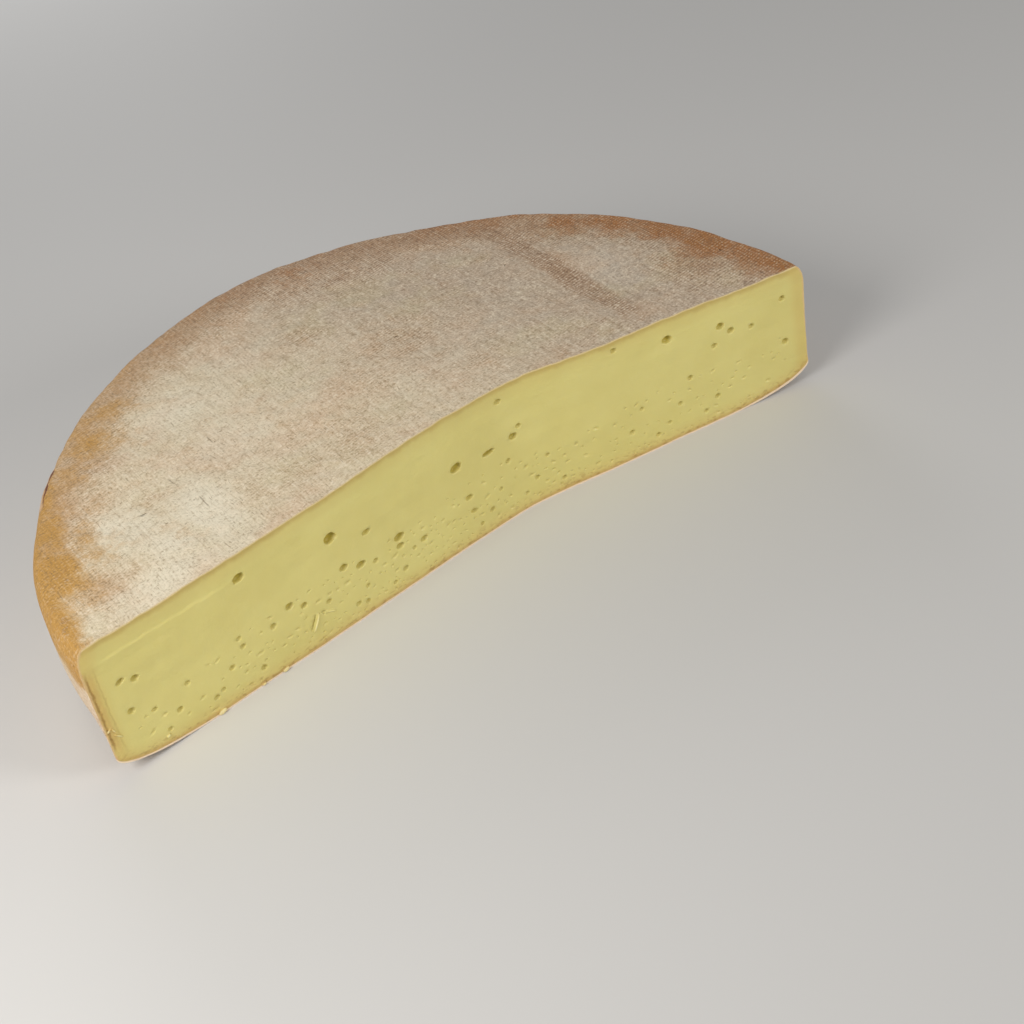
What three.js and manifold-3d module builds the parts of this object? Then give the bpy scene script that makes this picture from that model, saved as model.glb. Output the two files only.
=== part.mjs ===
// Half wheel of raclette: a semi-hard cheese with a washed rind, parted by two straight knife cuts
// that meet in a shallow fold near the middle. Millimetres, +Z up. The cuts face -Y and the round rim faces +Y.
// The origin is the centre of the bounding box on the flat base.
import * as THREE from "three";
import { mergeVertices } from "three/addons/utils/BufferGeometryUtils.js";
import Module from "manifold-3d";

// Wheel
const WHEEL_RADIUS = 160; // mean girth
const WHEEL_HEIGHT = 57;
const TOP_SHOULDER = { width: 4.2, height: 9 }; // rounding of the top edge
const BASE_ROLL = { width: 40, height: 10 }; // slow rounding where the wheel settled on its shelf
const TURN_STEPS = 128; // facets round the whole wheel
const CORNER_STEPS = 7; // facets across each rounded edge

// Cut, measured from the wheel's axis
const CUT_ENDS = -9; // where both cuts leave the rim, a little past the middle
const FOLD = { x: 25, y: 9.5, softness: 6.5 }; // where the two cuts meet
const CUT_STEPS = 40;

// Unevenness of the hand-turned wheel
const RIM_WAVES = [
  { count: 2, size: -2.0 },
  { count: 3, size: -0.6 },
  { count: 5, size: -1.3 },
];
const TOP_SWELLS = [
  { x: -2, reach: 52, rise: 2.5 },
  { x: 84, reach: 30, rise: -0.5 },
  { x: 165, reach: 70, rise: -2.3 },
];
const RIM_DENT = { angle: 141, height: 50, reach: 8, depth: 0.9 }; // a knock in the shoulder

// Eyes in the cut: place along X, height, width and height of the opening
const EYES = [
  [-97.5, 47.5, 4.7, 3.0],
  [-60.5, 40.7, 5.2, 4.0],
  [-3.5, 36.7, 5.0, 3.4],
  [12, 34.4, 5.6, 1.8],
  [24, 34.9, 3.7, 2.4],
  [27, 38.2, 2.3, 1.9],
  [20.5, 52.5, 2.9, 1.7],
  [-46, 34.2, 3.5, 1.8],
  [-58.5, 25.9, 3.5, 2.5],
  [-51.5, 22.7, 4.0, 2.5],
  [-33.5, 23.6, 4.5, 2.8],
  [-34, 19.8, 3.2, 1.9],
  [-23.5, 16.5, 3.2, 1.9],
  [-83, 24.5, 3.0, 2.6],
  [-77.5, 21.3, 2.8, 1.9],
  [-91, 21.1, 2.3, 2.1],
  [-104, 21.1, 2.2, 1.7],
  [-148.5, 37.4, 3.2, 1.8],
  [-143.3, 35.3, 3.0, 2.3],
  [-148.5, 24.0, 2.8, 2.1],
  [-141, 18.9, 2.2, 1.4],
  [-119, 7.8, 2.2, 1.7],
  [-52.5, 5.9, 1.8, 1.9],
  [-0.5, 21.2, 3.5, 1.8],
  [0.5, 14.2, 3.0, 1.5],
  [70.5, 52.0, 2.4, 1.8],
  [93.5, 46.8, 4.2, 3.0],
  [117, 42.6, 3.4, 2.6],
  [121.5, 38.8, 3.0, 2.2],
  [131, 36.5, 2.2, 1.8],
  [145.8, 42.9, 2.6, 2.2],
  [113.5, 35.2, 2.4, 1.8],
  [145.8, 23.0, 2.8, 2.2],
];
const EYE_SINK = 0.3; // how far an eye's middle lies behind the cut, in eye radii
const LARGE_EYE = 4; // an eye at least this wide is made rounder

// Fine eyes, scattered by an even rule over the lower part of the cut
const FINE_EYES = 32;
const FINE_SIZE = { least: 1.5, most: 2.4 };
const FINE_BAND = { low: 6, high: 27 };
const FINE_MARGIN = 16; // kept clear of the rim
const FINE_GAP = 1.2; // least wall between two eyes
const EVEN_STEPS = [0.7548777, 0.5698403, 0.6180340]; // fractions that fill a box evenly

const PASTE_COLOUR = 0xc8bd74;
const SPACING = 1e-4; // vertices nearer than this are one

const wasm = await Module();
wasm.setup();

// A closed geometry as a solid that can be joined and cut.
function solidOf(geometry) {
  geometry.deleteAttribute("normal");
  geometry.deleteAttribute("uv");
  const merged = mergeVertices(geometry, SPACING);
  const corners = merged.index.array;
  const kept = [];
  for (let i = 0; i < corners.length; i += 3) {
    const [a, b, c] = corners.subarray(i, i + 3);
    if (a !== b && b !== c && c !== a) kept.push(a, b, c);
  }
  const vertProperties = Float32Array.from(merged.attributes.position.array);
  return new wasm.Manifold(new wasm.Mesh({ numProp: 3, vertProperties, triVerts: Uint32Array.from(kept) }));
}

// A solid's surface as a geometry.
function geometryOf(solid) {
  const { vertProperties, triVerts } = solid.getMesh();
  const geometry = new THREE.BufferGeometry();
  geometry.setAttribute("position", new THREE.BufferAttribute(Float32Array.from(vertProperties), 3));
  geometry.setIndex(new THREE.BufferAttribute(Uint32Array.from(triVerts), 1));
  geometry.computeVertexNormals();
  return geometry;
}

// How far an elliptical corner stands in from the straight side, at a height over the face that it rounds into.
function cornerInset(corner, height) {
  const left = Math.max(0, 1 - height / corner.height);
  return corner.width * (1 - Math.sqrt(1 - left * left));
}

// The rim's radius at a height.
function rimRadius(z) {
  return WHEEL_RADIUS - cornerInset(TOP_SHOULDER, WHEEL_HEIGHT - z) - cornerInset(BASE_ROLL, z);
}

// Half section of the wheel, from the axis along the base, up the rim and back over the top.
function wheelProfile() {
  const turns = Array.from({ length: CORNER_STEPS + 1 }, (_, i) => ((i / CORNER_STEPS) * Math.PI) / 2);
  const baseHeights = turns.map((turn) => BASE_ROLL.height * (1 - Math.cos(turn)));
  const topHeights = turns.map((turn) => WHEEL_HEIGHT - TOP_SHOULDER.height * (1 - Math.sin(turn)));
  const wallHeights = [0.25, 0.5, 0.75].map((share) =>
    THREE.MathUtils.lerp(BASE_ROLL.height, WHEEL_HEIGHT - TOP_SHOULDER.height, share),
  );
  const rim = [...baseHeights, ...wallHeights, ...topHeights].map((z) => new THREE.Vector2(rimRadius(z), z));
  const topRings = [0.86, 0.74, 0.6, 0.46, 0.32, 0.18, 0].map(
    (share) => new THREE.Vector2(share * WHEEL_RADIUS, WHEEL_HEIGHT),
  );
  return [new THREE.Vector2(0, 0), ...rim, ...topRings];
}

// Moves a point of the perfect wheel to where the uneven one has it. The base stays flat.
function unevenPoint(point) {
  const angle = Math.atan2(point.y, point.x);
  const radius = Math.hypot(point.x, point.y);
  const lifted = point.z / WHEEL_HEIGHT;
  let outward = 0;
  for (const wave of RIM_WAVES) outward += wave.size * Math.cos(wave.count * angle);
  const turn = angle - THREE.MathUtils.degToRad(RIM_DENT.angle);
  const away = Math.hypot(turn * WHEEL_RADIUS, point.z - RIM_DENT.height) / RIM_DENT.reach;
  outward -= RIM_DENT.depth * Math.exp(-away * away);
  let rise = 0;
  for (const swell of TOP_SWELLS) {
    const distance = (point.x - swell.x) / swell.reach;
    rise += swell.rise * Math.exp(-distance * distance);
  }
  const scale = 1 + (outward * (radius / WHEEL_RADIUS) ** 4) / Math.max(radius, 1);
  return point.set(point.x * scale, point.y * scale, point.z + rise * lifted);
}

function wheelSolid() {
  const geometry = new THREE.LatheGeometry(wheelProfile(), TURN_STEPS).rotateX(Math.PI / 2);
  const position = geometry.attributes.position;
  const point = new THREE.Vector3();
  for (let i = 0; i < position.count; i++) {
    unevenPoint(point.fromBufferAttribute(position, i));
    position.setXYZ(i, point.x, point.y, point.z);
  }
  return solidOf(geometry);
}

// Where the cut runs: two straight lines from the rim, softened where they meet.
function cutLine(x) {
  const left = (FOLD.y - CUT_ENDS) / (WHEEL_RADIUS + FOLD.x);
  const right = (CUT_ENDS - FOLD.y) / (WHEEL_RADIUS - FOLD.x);
  const from = x - FOLD.x;
  return FOLD.y + ((left + right) / 2) * from + ((right - left) / 2) * Math.hypot(from, FOLD.softness);
}

// The slope of that line, as an angle.
function cutAngle(x) {
  const step = 0.5;
  return Math.atan2(cutLine(x + step) - cutLine(x - step), 2 * step);
}

// Everything behind the cut, as a tall block seen from above.
function behindCut() {
  const reach = WHEEL_RADIUS * 1.1;
  const margin = 20;
  const outline = new THREE.Shape([new THREE.Vector2(reach, reach), new THREE.Vector2(-reach, reach)]);
  for (let i = 0; i <= CUT_STEPS; i++) {
    const x = THREE.MathUtils.lerp(-reach, reach, i / CUT_STEPS);
    outline.lineTo(x, cutLine(x));
  }
  const geometry = new THREE.ExtrudeGeometry(outline, { depth: WHEEL_HEIGHT + 2 * margin, bevelEnabled: false });
  return solidOf(geometry.translate(0, 0, -margin));
}

// One gas eye, opened by the cut.
function eyeSolid([x, z, width, height]) {
  const depth = (width + height) / 2;
  const detail = width >= LARGE_EYE ? 2 : 1;
  const geometry = new THREE.IcosahedronGeometry(0.5, detail).scale(width, depth, height);
  const angle = cutAngle(x);
  const sink = (EYE_SINK * depth) / 2;
  geometry.rotateZ(angle).translate(x - Math.sin(angle) * sink, cutLine(x) + Math.cos(angle) * sink, z);
  return solidOf(geometry);
}

// Fine eyes by the even rule, less any that would break into another.
function fineEyes(taken) {
  const eyes = [];
  const reach = WHEEL_RADIUS - FINE_MARGIN;
  for (let i = 1; i <= FINE_EYES; i++) {
    const [along, up, size] = EVEN_STEPS.map((step) => (i * step) % 1);
    const width = THREE.MathUtils.lerp(FINE_SIZE.least, FINE_SIZE.most, size);
    const x = THREE.MathUtils.lerp(-reach, reach, along);
    const z = THREE.MathUtils.lerp(FINE_BAND.low, FINE_BAND.high, up * up);
    const clear = ([ex, ez, ew]) => Math.hypot(x - ex, z - ez) > (width + ew) / 2 + FINE_GAP;
    if ([...taken, ...eyes].every(clear)) eyes.push([x, z, width, width * 0.8]);
  }
  return eyes;
}

function cheeseGeometry() {
  let solid = wheelSolid().intersect(behindCut());
  for (const eye of [...EYES, ...fineEyes(EYES)]) solid = solid.subtract(eyeSolid(eye));
  return geometryOf(solid);
}

const material = new THREE.MeshStandardMaterial({ color: PASTE_COLOUR, roughness: 0.6, metalness: 0 });
const cheese = new THREE.Mesh(cheeseGeometry(), material);
cheese.name = "half_wheel";
cheese.geometry.computeBoundingBox();
const middle = cheese.geometry.boundingBox.getCenter(new THREE.Vector3());
cheese.position.set(-middle.x, -middle.y, 0);

const halfWheel = new THREE.Group();
halfWheel.add(cheese);
export default halfWheel;
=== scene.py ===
"""Half wheel of raclette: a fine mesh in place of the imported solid, with a washed rind and cut paste."""

import math

import bmesh
import bpy
import numpy as np
from mathutils import Matrix, Vector


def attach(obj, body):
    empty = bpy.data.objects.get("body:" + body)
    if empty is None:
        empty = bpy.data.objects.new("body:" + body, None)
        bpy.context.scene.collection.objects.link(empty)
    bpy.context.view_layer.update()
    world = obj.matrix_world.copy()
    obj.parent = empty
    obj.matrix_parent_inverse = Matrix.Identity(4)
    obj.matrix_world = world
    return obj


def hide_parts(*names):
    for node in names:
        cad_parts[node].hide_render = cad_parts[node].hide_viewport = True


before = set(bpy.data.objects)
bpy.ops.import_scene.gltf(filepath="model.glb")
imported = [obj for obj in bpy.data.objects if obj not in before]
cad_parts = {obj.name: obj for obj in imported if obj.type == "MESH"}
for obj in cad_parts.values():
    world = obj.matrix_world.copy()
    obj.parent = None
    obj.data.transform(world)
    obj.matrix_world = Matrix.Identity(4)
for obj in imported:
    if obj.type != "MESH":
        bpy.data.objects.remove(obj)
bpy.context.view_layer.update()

# Sizes in millimetres, measured from the wheel's axis, as in the part's source
MM = 0.001
AXIS = (1.9, -76.53)  # the wheel's axis in the part's frame
WHEEL_RADIUS = 160.0
WHEEL_HEIGHT = 57.0
TOP_SHOULDER = (4.2, 9.0)  # width and height of the rounding
BASE_ROLL = (40.0, 10.0)
CUT_ENDS = -9.0
FOLD_X, FOLD_Y, FOLD_SOFTNESS = 25.0, 9.5, 6.5
RIM_WAVES = ((2, -2.0), (3, -0.6), (5, -1.3))  # count round the wheel, size
TOP_SWELLS = ((-2, 52, 2.5), (84, 30, -0.5), (165, 70, -2.3))  # place along X, reach, rise
RIM_DENT = (141, 50, 8, 0.9)  # angle in degrees, height, reach, depth

RIM_CRACK = (145, 7.0, 56.0)  # middle and half length in degrees, height
CRACK_DEPTH, CRACK_LIP = 0.8, 0.45  # how deep the crack is, and how far its lip stands out
CRACK_FADE, CRACK_WIDTH = 4.0, 0.55  # degrees at each end, half width
CRACK_WAVES = ((0.22, 1.7), (0.12, 4.1))  # size, rate along the crack
LIP_BELOW, LIP_WIDTH = 1.2, 0.7
# The lower rim tucks in behind the cut's left end: degrees round the wheel, height, reach, depth
TUCK_TURN = ((183.5, 179.0), (164.0, 178.0))
TUCK_HEIGHT, TUCK_REACH, TUCK_DEPTH = 8.0, 13.0, 3.2
# Low unevenness of the top and the rim: size, wave length and seed of each layer
TOP_RELIEF = ((0.35, 42, 21), (0.14, 11, 22), (0.05, 5, 23))
RIM_RELIEF = ((0.22, 34, 11), (0.05, 9, 12))
RIM_RELIEF_START = (1, 8)  # height over which the rim's unevenness sets in
TOP_RELIEF_START = (0.75, 1.0)  # the same for the top's, as a share of the height
NEAR_RIM = (8, 5)  # inset over which the crack sets in
# The shallow fold that the cloth pressed into the top
CLOTH_FOLD = (89.0, 0.02, 6.0)  # place along X, lean along Y, half width
CLOTH_FOLD_ENDS = ((0, 18), (128, 112))  # places along Y where it fades
CLOTH_FOLD_DEPTH = 0.45

# Fineness of the wheel's mesh
WHEEL_STEPS = 560  # facets round the wheel
BASE_RINGS, WALL_RINGS, SHOULDER_RINGS = 25, 24, 24
BASE_FLAT = (12, 10, 9)  # innermost ring, margin from the roll, number of rings
TOP_RINGS = (1.8, 1.0, 2.0)  # first step in from the shoulder, innermost ring, pitch
# Fineness of the cut's mesh, closer at the cracks inside the rind and at the knife's step
CUT_COLUMNS = ((-164, -151, 0.36), (-150.8, 172, 1.25))  # start, end, pitch along X
CUT_ROWS = ((-8, 44, 48), (44.5, 51.5, 20), (52.4, 68, 14))  # lowest, highest, number of rows
BLOCK_REACH, BLOCK_BACK = 172.0, 200.0  # half length and back of the block behind the cut

# Eyes in the cut: place along X, height, width and height of the opening
EYES = (
    (-97.5, 47.5, 4.7, 3.0),
    (-60.5, 40.7, 5.2, 4.0),
    (-3.5, 36.7, 5.0, 3.4),
    (12, 34.4, 5.6, 1.8),
    (24, 34.9, 3.7, 2.4),
    (27, 38.2, 2.3, 1.9),
    (20.5, 52.5, 2.9, 1.7),
    (-46, 34.2, 3.5, 1.8),
    (-58.5, 25.9, 3.5, 2.5),
    (-51.5, 22.7, 4.0, 2.5),
    (-33.5, 23.6, 4.5, 2.8),
    (-34, 19.8, 3.2, 1.9),
    (-23.5, 16.5, 3.2, 1.9),
    (-83, 24.5, 3.0, 2.6),
    (-77.5, 21.3, 2.8, 1.9),
    (-91, 21.1, 2.3, 2.1),
    (-104, 21.1, 2.2, 1.7),
    (-148.5, 37.4, 3.2, 1.8),
    (-143.3, 35.3, 3.0, 2.3),
    (-148.5, 24.0, 2.8, 2.1),
    (-141, 18.9, 2.2, 1.4),
    (-119, 7.8, 2.2, 1.7),
    (-52.5, 5.9, 1.8, 1.9),
    (-0.5, 21.2, 3.5, 1.8),
    (0.5, 14.2, 3.0, 1.5),
    (70.5, 52.0, 2.4, 1.8),
    (93.5, 46.8, 4.2, 3.0),
    (117, 42.6, 3.4, 2.6),
    (121.5, 38.8, 3.0, 2.2),
    (131, 36.5, 2.2, 1.8),
    (145.8, 42.9, 2.6, 2.2),
    (113.5, 35.2, 2.4, 1.8),
    (145.8, 23.0, 2.8, 2.2),
)
EYE_DEPTH = 0.48  # share of the opening's mean size
EYE_ROLL, EYE_ROLL_DEPTH = 0.32, 0.28  # how far the rolled edge widens the opening, and how deep
EYE_EDGE_DEPTHS = (-0.4, -0.1, 0.05, 0.12, 0.22)  # rings of the rolled edge
EYE_INSIDE = 0.3  # depth from which the rings follow the hollow
EYE_ROUNDNESS = 2.4
EYE_RINGS = (0.12, 1, 8)  # inside: first and last, as shares of a quarter turn, and number
LARGE_EYE, EYE_SIDES = 2.6, (28, 18)  # width from which an eye has more sides, and their numbers
# Fine eyes in the lower part of the cut, placed by an even rule
FINE_EYES = 32
FINE_SIZE = (1.5, 2.4)  # least and greatest width
FINE_BAND = (6.0, 27.0)  # heights between which they lie
FINE_MARGIN = 16.0  # from the rim
FINE_GAP = 1.2  # least space between two eyes
FINE_FLATNESS = 0.8  # height as a share of the width
EVEN_STEPS = (0.7548777, 0.5698403, 0.6180340)  # the rule's steps along X, up and in size
# Soft shallow dents in the lower part of the cut
DENTS = 250
DENT_SIZE = (0.6, 1.7)
DENT_LENGTH = (1.1, 2.4)  # in heights of the dent
DENT_BAND = (2.6, 27.0)  # heights between which they lie
DENT_SPAN = (-148, 146)  # places along X
DENT_CROWD = (-30, 60, 0.25)  # place along X and reach of the crowded part, share left elsewhere
DENT_LOWEST = (3, 10, (118, 158))  # lowest place, how far it rises at the ends, where it rises
DENT_GAP = 0.7
DENT_DEPTH = (0.22, 0.12)  # least depth, and what each millimetre of height adds
# Rings of a dent: share of its half width, and share of its depth
DENT_RADII = (1.25, 1.1, 0.95, 0.75, 0.5, 0.25, 0.0)
DENT_DEPTHS = (-0.3, -0.05, 0.08, 0.35, 0.7, 0.93, 1.0)
DENT_SIDES = 12
# Unevenness of hollows and curls: share of their size; wave length, seed and number of waves
HOLLOW_BUMP, HOLLOW_WAVES = 0.07, (7, 41, 8)
EYE_TURN, DENT_TURN = 14, 25  # most that one is turned, in degrees
DENT_SEED, TURN_SEED, HOLLOW_SEED, BURR_SEED, SCRATCH_SEED = 5, 8, 9, 10, 11

# A step that the knife left below the top edge: place along X and height of its ends, depth
STEP_START, STEP_END, STEP_DEPTH = (-151.0, 49.2), (-103.0, 48.0), 0.3
STEP_FADES = ((-3, 3), (8, -12))  # where it fades in and out along X, from its ends
STEP_WIDTH = 0.5
# The knife's slow waves and the step's: size, wave length, seed
KNIFE_WAVES = ((0.2, 60, 31), (0.08, 18, 32), (0.03, 6, 33))
KNIFE_STRETCH = 1.8  # the waves are this much longer along the cut than up it
STEP_WAVE = (0.3, 12, 34)
# Cracks just inside the rind at the cut's left end: inset from the rim, depth, lowest and highest point
RIND_CRACKS = ((1.3, 0.5, 12, 46), (4.4, 0.16, 14, 42))
RIND_CRACK_WAVES = ((0.45, 9, 35), (0.3, 3.5, 36))
RIND_CRACK_FADES = ((-3, 3), (3, -5))  # where they fade in and out, from their lowest and highest point
RIND_CRACK_WIDTH = 0.42
RIND_CRACK_SHARE, RIND_CRACK_CHANGE = 0.7, (0.5, 6, 37)  # mean share of the depth, and its waves

# Curls and crumbs that stand on the cut: place along X, height, length, width, stand-out, turn in degrees
BURRS = (
    (-75.0, 11.3, 7.4, 1.0, 1.3, 58),
    (-68.0, 12.2, 4.6, 0.8, 0.9, -24),
    (-158.2, 22.0, 3.0, 0.9, 1.1, 29),
    (-156.6, 21.2, 2.9, 0.8, 1.0, -68),
    (-155.7, 18.2, 3.3, 0.8, 1.0, -44),
    (-119.0, 1.0, 3.8, 1.9, 2.0, 14),
    (-91.6, 0.9, 3.4, 1.7, 1.8, 10),
    (-101.0, 0.8, 2.0, 1.2, 1.3, 15),
    (-140.0, 5.6, 1.8, 1.1, 1.2, 25),
)
# Scratches beside the curls, in the same order of values
SCRATCHES = ((-76.2, 11.9, 6.8, 0.8, 1.0, 58), (-71.2, 14.0, 2.0, 0.9, 1.0, -24))
# Nicks in the top: place, length, width, turn in degrees
NICKS = (
    (-108.3, 44.0, 2.3, 0.8, 8),
    (15.0, 69.0, 2.2, 0.9, 10),
    (143.0, 25.0, 1.8, 0.9, 60),
    (78.0, 84.0, 1.4, 0.7, 40),
)
NICK_DEPTH = 0.4
# Dark scratches along Y in the top's colour: place and half length
TOP_SCRATCHES = ((-89.6, 33.0, 4.6), (-92.4, 54.0, 3.0), (-70.0, 66.0, 3.4))

# Layout for the bake: width of the sheet, and where each part of it starts
BAKE_SHEET = 378.0
BAKE_TOP, BAKE_CUT = (162, 12), (162, 178)
BAKE_RIM_LEFT, BAKE_RIM_RIGHT = (6, 304), (12, 242)
BAKE_BASE, BAKE_BASE_SCALE = (270, 244), 0.32
FACING = 0.5  # least upward share of a normal that counts as the top, and downward as the base

# The cloth's threads, printed in the rind
WEFT_PITCH, WARP_PITCH = 1.4, 1.8
WEFT_WAY = (-0.2, 0.98)  # across the threads on the top
MOVED = 2.5  # most that the threads wander

# Where the rind's colours lie, in millimetres and in degrees round the rim
WALL_TOP, WALL_INSET = (53, 36), (30, 8)  # height and inset over which the wall's colour sets in
WALL_WAVES = ((3.0, 40, 51), (1.5, 13, 52))  # its ragged upper edge: size, wave length, seed
WALL_STAIN, WALL_PATCHES = (0.2, 0.8), ((0.4, 55, 53), (0.2, 20, 54))
BORDER, BORDER_INSET, BORDER_END = 0.95, (38, 5), (176, 160)  # brown border of the top
EDGE, EDGE_INSET = (0.35, 0.6), (12, 1)  # golden edge: strength, and what the cut's ends add
EDGE_ENDS = ((120, 160), (75, 40))
WALL_LACKS_BLOOM, WALL_LACKS_GOLD = 0.5, 0.9  # shares
DULL_AND_SHADED, DULL_AND_SHADED_WAY = (-20, 110), 0.6  # the rind turns duller along X and, by this share, along Y: partly its own colour, partly painted shade of the light falling off towards the back right
BAND_STRENGTH = (0.75, 0.35, 0.2)  # everywhere, in its middle, towards its far end
BAND_MIDDLE, BAND_FAR = (62, 24), (85, 100)

# Pinkish brown stains on the top: place, reach along X and Y, strength
STAINS = (
    (-136, 16, 12, 13, 0.85),
    (-126, 64, 14, 16, 0.6),
    (-101, 49, 14, 7, 0.3),
    (-131, 53, 12, 14, 0.7),
    (-68, 127, 22, 10, 0.55),
    (-41, 149, 16, 8, 0.5),
    (6, 143, 18, 16, 0.75),
    (39, 128, 30, 14, 0.5),
    (93, 116, 9, 18, 0.7),
    (132, 24, 17, 18, 0.95),
    (146, 14, 10, 16, 0.9),
    (122, 84, 14, 22, 0.6),
    (-2, 47, 30, 14, 0.35),
    (15, 36, 36, 16, 0.3),
    (-62, 44, 24, 18, 0.35),
    (-40, 20, 50, 10, 0.4),
    (-10, 98, 12, 10, 0.3),
    (14, 62, 22, 14, 0.4),
)
# Golden and orange stains towards the rim
OCHRES = (
    (-146, 36, 12, 22, 1.0),
    (-156, 14, 7, 24, 1.15),
    (-139, 64, 10, 22, 0.8),
    (-132, 44, 11, 18, 0.6),
    (-119, 90, 11, 12, 0.55),
    (-106, 100, 15, 11, 0.6),
    (-90, 117, 12, 9, 0.5),
    (10, 146, 12, 9, 0.5),
    (94, 118, 7, 10, 0.5),
    (117, 99, 10, 14, 0.8),
    (130, 78, 11, 18, 0.9),
    (140, 56, 12, 18, 1.0),
    (144, 34, 16, 17, 1.1),
    (148, 12, 11, 16, 0.95),
    (151, -3, 9, 9, 1.1),
)
# Pale bloom
BLOOMS = (
    (-91, 29, 12, 24, 1.0),
    (-118, 40, 20, 20, 0.8),
    (-120, 5, 26, 10, 0.7),
    (-70, 95, 26, 20, 0.55),
    (-40, 110, 20, 14, 0.4),
    (107, 50, 12, 26, 0.55),
    (-60, 60, 34, 26, 0.5),
    (-108, 20, 12, 10, 0.9),
    (18, 40, 30, 24, 0.35),
)

# Wave lengths of the rind's noises, finest first
GRAIN, SPECK, CLUMP, MOTTLE, WANDER, PATCH, DRIFT = 1.0, 1.5, 2.4, 6, 16, 24, 30
DRIFT_PLACE, SPECK_PLACE = (310.0, 95.0, 40.0), (70.0, 20.0, 5.0)  # moves that keep noises apart
# How the surfaces shine and how deep their fine grain is: depth and strength
RIND_ROUGHNESS, RIND_GLOSS, RIND_BUMP = (0.86, 0.72), 0.3, (0.5, 0.9)
PASTE_ROUGHNESS, PASTE_GLOSS, PASTE_BUMP = (0.42, 0.56), 0.4, (0.16, 0.6)
PASTE_GLOW, PASTE_GLOW_TINT, PASTE_GLOW_REACH = 0.15, (1.0, 0.75, 0.35), 0.0014
FLOOR_ROUGHNESS = 0.7

# Colours of the rind, 0 to 255. Pale ones are at its left end and dull ones at its right end; the dull ones
# are partly painted shade, as the light falls off towards the back right
PALE_RIND = (217, 203, 174)
DULL_RIND = (190, 173, 152)
WARM_DRIFT = (208, 178, 148)
COOL_DRIFT = (198, 186, 146)
PALE_BLOOM = (228, 220, 198)
DULL_BLOOM = (203, 193, 177)
PINK_STAIN = (202, 172, 141)
PALE_BROWN = (184, 146, 104)
DULL_BROWN = (160, 118, 80)
WALL_COLOUR = (224, 198, 172)
PALE_GOLD = (190, 143, 66)
DULL_GOLD = (169, 112, 60)
DEEP_GOLD = (150, 106, 48)
BAND_BROWN = (170, 138, 110)
PALE_DOTS = (140, 114, 76)
DULL_DOTS = (118, 92, 68)
LIGHT_GRAIN = (238, 224, 200)
SPECKS = (116, 92, 58)
DARK_THREADS = (150, 126, 94)
LIGHT_THREADS = (234, 226, 206)
FIBRES = (124, 102, 72)
CROSS_FIBRES = (130, 106, 80)
SCRATCH = (104, 86, 62)
CUT_EDGE = (224, 202, 162)
CRACK_RIM = (226, 200, 180)
CRACK_INSIDE = (96, 42, 32)
NICK_INSIDE = (92, 72, 48)
# Colours of the paste
LIGHT_PASTE = (213, 202, 127)
DEEP_PASTE = (209, 197, 121)
UNDER_TOP = (204, 186, 114)
TOP_LINE = (182, 156, 84)
OVER_BASE = (205, 182, 110)
BASE_LINE = (186, 148, 84)
TORN_BASE = (156, 122, 62)
INSIDE_RIM = (202, 176, 100)
RIM_TAN = (194, 158, 90)
RIM_LINE = (146, 106, 48)
SECOND_LINE = (164, 134, 66)
RIM_SKIN = (212, 178, 136)
BASE_SKIN = (238, 216, 190)
TOP_SKIN = (224, 204, 158)
# Painted shade: eyes and dents darken from their rolled edge towards their depths
HOLLOW_RIM_SHADE = (186, 170, 92)
HOLLOW_SHADE = (174, 154, 40)
CRUMB = (232, 222, 168)
# Colour of the floor
FLOOR = (206, 205, 203)


def noise(points, wave, seed, count=14):
    """Smooth noise of about -1 to 1 from seeded plane waves, at points in millimetres."""
    rng = np.random.RandomState(seed)
    total = np.zeros(len(points))
    for _ in range(count):
        way = rng.normal(size=points.shape[1])
        way *= 2 * math.pi / (wave * rng.uniform(0.7, 1.4)) / np.linalg.norm(way)
        total += np.sin(points @ way + rng.uniform(0, 2 * math.pi))
    return total / math.sqrt(count / 2) / 1.6


def smooth_step(low, high, value):
    """0 up to low, 1 from high, and smooth between them. High may be the smaller one."""
    t = np.clip((value - low) / (high - low), 0, 1)
    return t * t * (3 - 2 * t)


def layers(points, rows, start=0.0):
    """A sum of noises: size, wave length and seed of each."""
    return sum((size * noise(points, wave, seed) for size, wave, seed in rows), start)


def corner_inset(corner, height):
    """How far a rounded corner lies inside the rim, at a height from its end."""
    left = np.clip(1 - height / corner[1], 0, 1)
    return corner[0] * (1 - np.sqrt(1 - left * left))


def rim_radius(z):
    """Radius of the perfect wheel at a height."""
    return WHEEL_RADIUS - corner_inset(TOP_SHOULDER, WHEEL_HEIGHT - z) - corner_inset(BASE_ROLL, z)


def rim_outward(angle, z):
    """How far the uneven rim stands out from the perfect one."""
    out = sum(size * np.cos(count * angle) for count, size in RIM_WAVES)
    turn = (angle - math.radians(RIM_DENT[0])) * WHEEL_RADIUS
    away = np.hypot(turn, z - RIM_DENT[1]) / RIM_DENT[2]
    degrees = np.degrees(angle) % 360
    tuck = smooth_step(*TUCK_TURN[0], degrees) * smooth_step(*TUCK_TURN[1], degrees)
    tuck = tuck * np.exp(-(((z - TUCK_HEIGHT) / TUCK_REACH) ** 2))
    return out - RIM_DENT[3] * np.exp(-away * away) - TUCK_DEPTH * tuck


def rim_turn(x, y):
    """Angle about the axis, without a jump at the cut's left end."""
    angle = np.arctan2(y, x)
    return np.where(angle < -math.pi / 2, angle + 2 * math.pi, angle)


def rim_crack(angle, z):
    """Strength of the short crack in the rim's shoulder, and of the lip that stands out below it."""
    place, half, height = RIM_CRACK
    turn = np.degrees(angle) - place
    ends = smooth_step(-half, CRACK_FADE - half, turn) * smooth_step(half, half - CRACK_FADE, turn)
    wavy = z - height
    for size, rate in CRACK_WAVES:
        wavy = wavy - size * np.sin(turn * rate)
    lip = ends * np.exp(-(((wavy + LIP_BELOW) / LIP_WIDTH) ** 2))
    return ends * np.exp(-((wavy / CRACK_WIDTH) ** 2)), lip


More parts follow.
